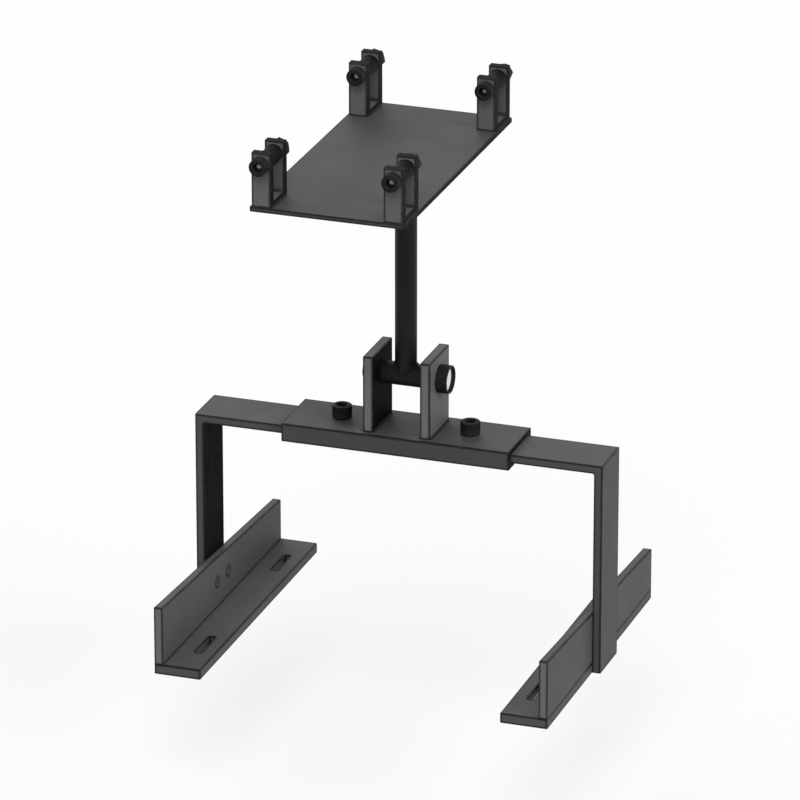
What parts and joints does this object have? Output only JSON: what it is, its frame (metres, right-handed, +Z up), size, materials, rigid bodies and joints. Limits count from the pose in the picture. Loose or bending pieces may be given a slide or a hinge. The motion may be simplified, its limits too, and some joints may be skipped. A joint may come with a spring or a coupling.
{
  "type": "ceiling projector mount",
  "caption": "Ceiling-hung projector cradle: clevis plate, drop pole, tilting head, and side rails on arms that slide in a clamp sleeve.",
  "frame": {"origin": "centre of the four hanger bolts, at the height of their axes", "axes": "+Z up to the ceiling, -Y to the front, +X to the right along the tilt axis, seen from the front"},
  "size_m": [0.387, 0.3725, 0.5292],
  "materials": {
    "dark_grey_paint": "satin dark grey powder coat",
    "black_steel": "black oxide, oiled, low sheen",
    "pale_cap": "matt white moulded",
    "bush_brass": "turned, dull",
    "washer_nylon": "matt black nylon"
  },
  "bodies": {
    "hanger": {"ceiling_plate": "dark_grey_paint", "pole": "black_steel", "pivot_barrel": "black_steel", "clevis_front_left": "dark_grey_paint", "hanger_bolt_front_left": "black_steel", "hanger_spacer_front_left": "black_steel", "hanger_nut_front_left": "black_steel", "clevis_front_right": "dark_grey_paint", "hanger_bolt_front_right": "black_steel", "hanger_spacer_front_right": "black_steel", "hanger_nut_front_right": "black_steel", "clevis_back_left": "dark_grey_paint", "hanger_bolt_back_left": "black_steel", "hanger_spacer_back_left": "black_steel", "hanger_nut_back_left": "black_steel", "clevis_back_right": "dark_grey_paint", "hanger_bolt_back_right": "black_steel", "hanger_spacer_back_right": "black_steel", "hanger_nut_back_right": "black_steel", "pivot_bush_left": "bush_brass", "friction_washer_left": "washer_nylon", "pivot_bush_right": "bush_brass", "friction_washer_right": "washer_nylon"},
    "cradle": {"clamp_sleeve": "dark_grey_paint", "ear_left": "dark_grey_paint", "ear_right": "dark_grey_paint", "pivot_bolt": "black_steel", "pivot_cap": "pale_cap", "pivot_nut": "black_steel"},
    "arm_left": {"arm_left": "dark_grey_paint", "rail_upright_left": "dark_grey_paint", "rail_shelf_left": "dark_grey_paint", "rail_screws_left": "black_steel", "shelf_screws_left": "black_steel"},
    "pad_left": {"clamp_pad_left": "bush_brass"},
    "screw_left": {"clamp_screw_left": "black_steel"},
    "arm_right": {"arm_right": "dark_grey_paint", "rail_upright_right": "dark_grey_paint", "rail_shelf_right": "dark_grey_paint", "rail_screws_right": "black_steel", "shelf_screws_right": "black_steel"},
    "pad_right": {"clamp_pad_right": "bush_brass"},
    "screw_right": {"clamp_screw_right": "black_steel"}
  },
  "joints": [
    {"name": "tilt", "type": "hinge", "parent": "hanger", "child": "cradle", "pos_m": [0, 0.062, -0.263], "axis": [1, 0, 0], "range_deg": [-20, 20]},
    {"name": "arm_left_slide", "type": "slide", "parent": "cradle", "child": "arm_left", "axis": [-1, 0, 0], "range_m": [-0.018, 0.03]},
    {"name": "pad_left_lift", "type": "slide", "parent": "cradle", "child": "pad_left", "axis": [0, 0, 1], "range_m": [0, 0.002]},
    {"name": "screw_left_turn", "type": "hinge", "parent": "pad_left", "child": "screw_left", "pos_m": [-0.061, 0.062, -0.3127], "axis": [0, 0, 1], "range_deg": [0, 720]},
    {"name": "arm_right_slide", "type": "slide", "parent": "cradle", "child": "arm_right", "axis": [1, 0, 0], "range_m": [-0.018, 0.03]},
    {"name": "pad_right_lift", "type": "slide", "parent": "cradle", "child": "pad_right", "axis": [0, 0, 1], "range_m": [0, 0.002]},
    {"name": "screw_right_turn", "type": "hinge", "parent": "pad_right", "child": "screw_right", "pos_m": [0.061, 0.062, -0.3127], "axis": [0, 0, 1], "range_deg": [0, 720]}
  ],
  "couplings": [
    {"joint": "screw_left_turn", "follows": "pad_left_lift", "rad_per_m": 6283.2},
    {"joint": "screw_right_turn", "follows": "pad_right_lift", "rad_per_m": 6283.2}
  ]
}
